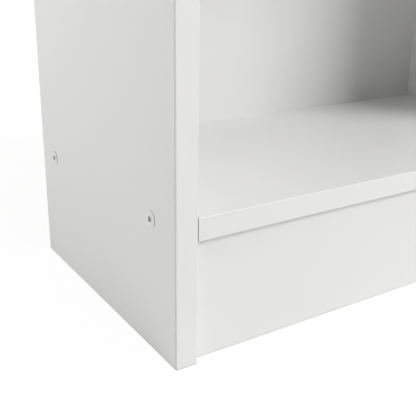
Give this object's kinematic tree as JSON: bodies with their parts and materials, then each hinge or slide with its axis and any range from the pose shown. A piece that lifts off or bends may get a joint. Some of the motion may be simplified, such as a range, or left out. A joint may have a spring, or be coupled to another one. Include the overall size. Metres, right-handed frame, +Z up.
{
  "type": "bookcase",
  "caption": "Low white flat-pack bookcase: open front, fixed bottom shelf over a set-back plinth, one loose shelf on pins, socket-head screws in the sides, nailed hardboard back.",
  "frame": {"origin": "on the floor, under the middle of the case (middle of its overall width and depth)", "axes": "+Z up; -Y is the open front, +Y the back; +X to the right as seen from the front"},
  "size_m": [0.5018, 0.2406, 0.8],
  "materials": {
    "white_board": "white melamine-faced chipboard, satin",
    "white_edge_band": "white plastic edge band, satin",
    "back_hardboard": "hardboard, white-lacquered front, bare brown rear",
    "white_screw": "white-lacquered steel",
    "bright_nail": "bright drawn steel",
    "plated_steel": "nickel-plated steel",
    "beech_dowel": "plain turned beech"
  },
  "bodies": {
    "carcass": {"left_side_board": "white_board", "left_side_front_band": "white_edge_band", "left_side_top_band": "white_edge_band", "right_side_board": "white_board", "right_side_front_band": "white_edge_band", "right_side_top_band": "white_edge_band", "top_board": "white_board", "top_board_front_band": "white_edge_band", "bottom_shelf": "white_board", "bottom_shelf_front_band": "white_edge_band", "plinth_board": "white_board", "back_panel": "back_hardboard", "back_panel_nails": "bright_nail", "left_bottom_screws": "white_screw", "right_bottom_screws": "white_screw", "left_top_screws": "white_screw", "right_top_screws": "white_screw", "bottom_shelf_dowels": "beech_dowel", "top_board_dowels": "beech_dowel", "plinth_end_dowels": "beech_dowel", "plinth_upright_dowels": "beech_dowel", "left_shelf_pins": "plated_steel", "right_shelf_pins": "plated_steel", "wall_bracket": "plated_steel", "wall_bracket_screw": "plated_steel"},
    "shelf": {"loose_shelf": "white_board", "loose_shelf_front_band": "white_edge_band"}
  },
  "joints": [
    {"name": "loose_shelf_lift", "type": "slide", "parent": "carcass", "child": "shelf", "axis": [0, 0, 1], "range_m": [0, 0.328]}
  ]
}
